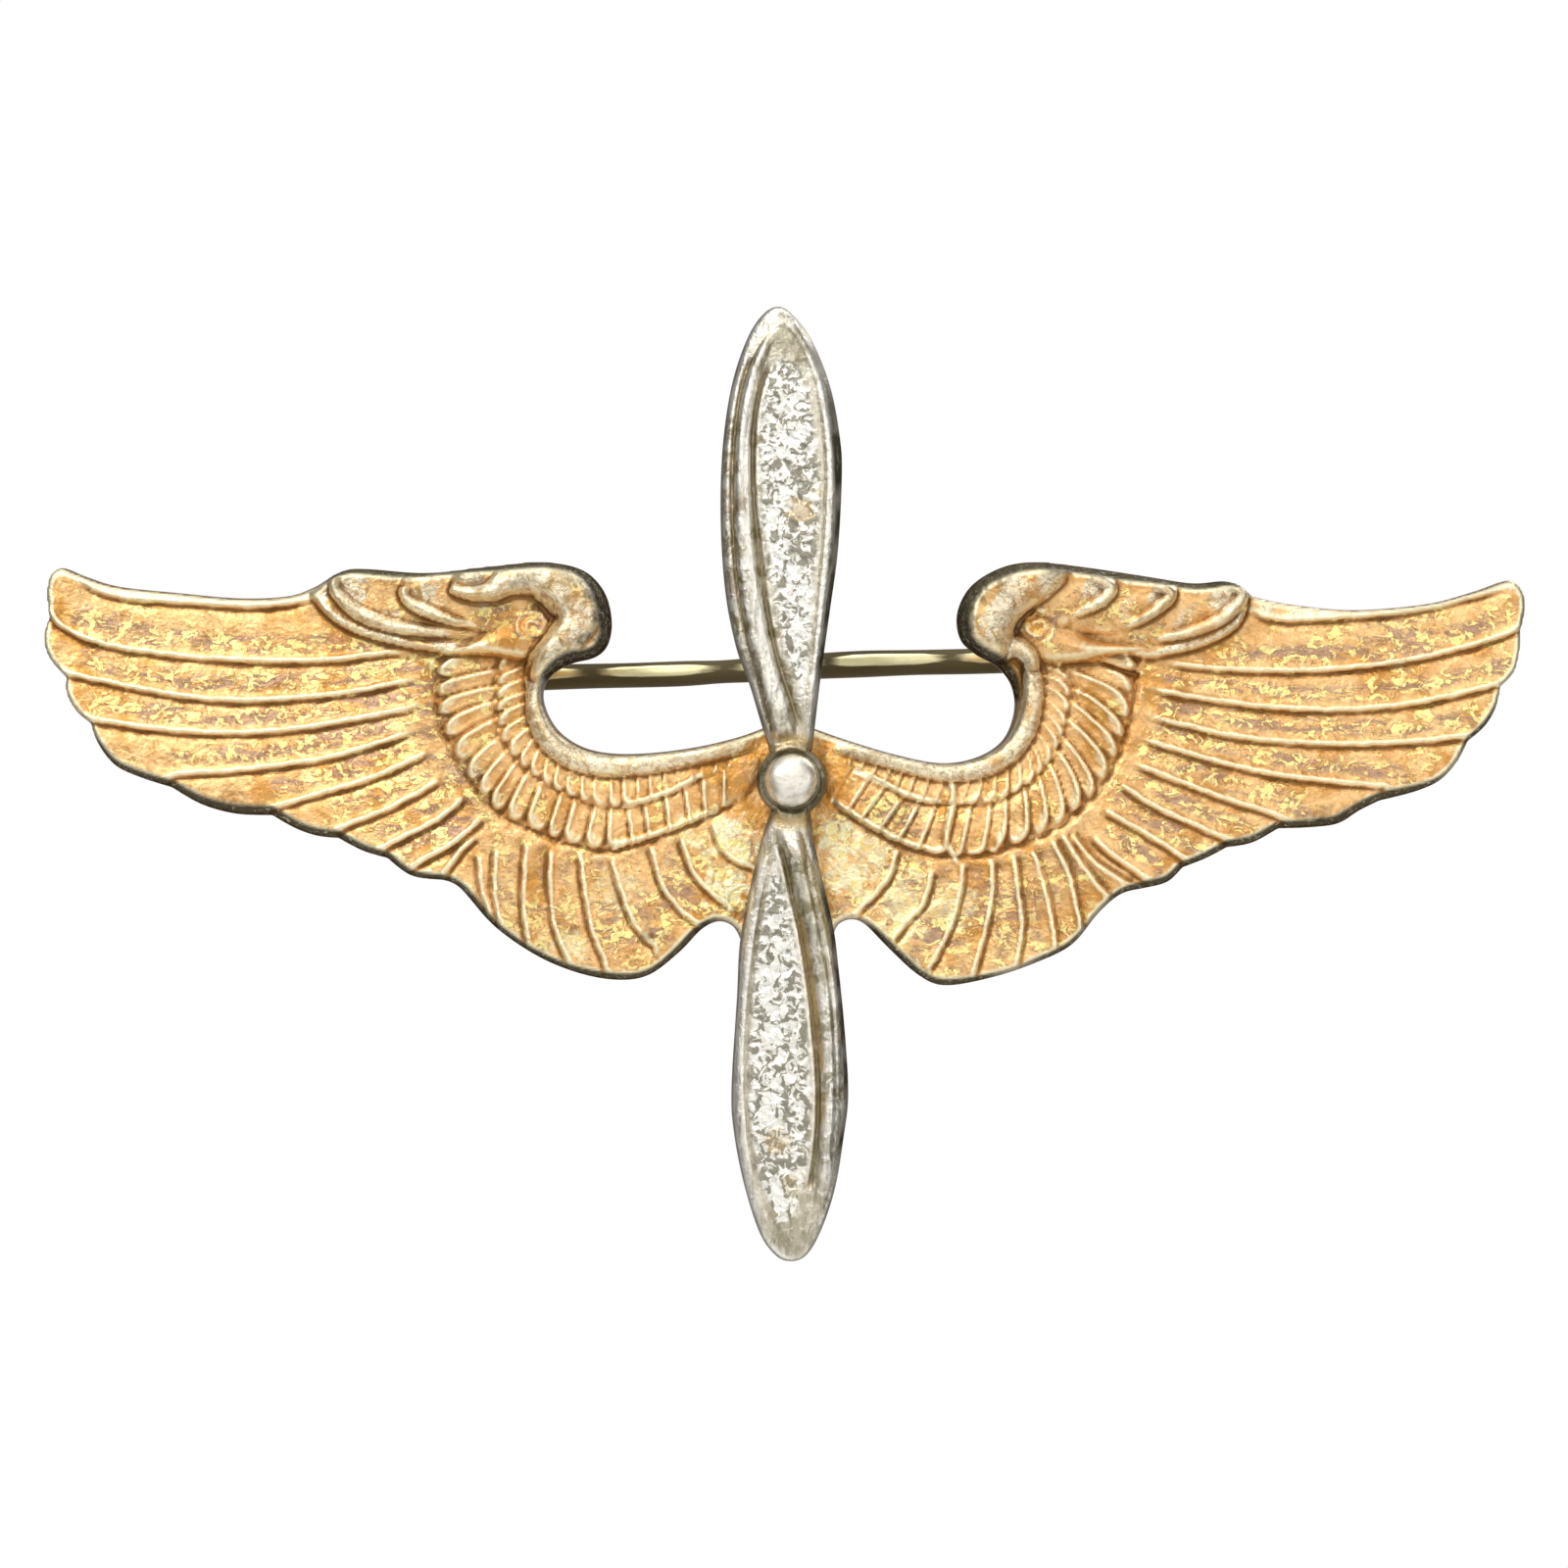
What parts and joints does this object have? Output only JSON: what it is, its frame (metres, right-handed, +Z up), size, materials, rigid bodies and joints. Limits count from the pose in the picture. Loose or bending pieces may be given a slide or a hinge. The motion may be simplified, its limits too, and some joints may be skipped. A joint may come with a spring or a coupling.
{
  "type": "winged propeller pin",
  "caption": "Small two-tone metal pin: gold wings with a silver propeller across them, and a hinged stem with a locking catch on the flat back.",
  "frame": {"origin": "on the hub's axis, in the plane of the flat back", "axes": "+X to the viewer's right along the wings, -Y towards the viewer out of the front, +Z up along the upper blade"},
  "size_m": [0.0303, 0.0048, 0.0195],
  "materials": {
    "gilt": "worn gold wash over silver, dark in the recesses",
    "silver": "tarnished silver, bright on the ridges and pitted on the flats",
    "fittings": "nickel silver, olive tarnish",
    "wire": "drawn wire, smooth, olive tarnish",
    "solder": "dull grey"
  },
  "bodies": {
    "brooch": {"wings": "gilt", "propeller": "silver", "hub_rivet": "silver", "hinge_solder": "solder", "hinge_patch": "fittings", "hinge_bracket": "fittings", "hinge_rivet": "fittings", "catch_solder": "solder", "catch_patch": "fittings", "catch_housing": "fittings"},
    "pin_stem": {"stem_knuckle": "wire", "stem_wire": "wire"},
    "catch_lock": {"catch_rotor": "fittings"}
  },
  "joints": [
    {"name": "stem_hinge", "type": "hinge", "parent": "brooch", "child": "pin_stem", "pos_m": [-0.00699, 0.0016, 0.00208], "axis": [-0.0401, 0, 0.9992], "range_deg": [0, 110]},
    {"name": "catch_turn", "type": "hinge", "parent": "brooch", "child": "catch_lock", "pos_m": [0.00699, 0.0016, 0.00264], "axis": [-0.9992, 0, -0.0401], "range_deg": [0, 140]}
  ]
}
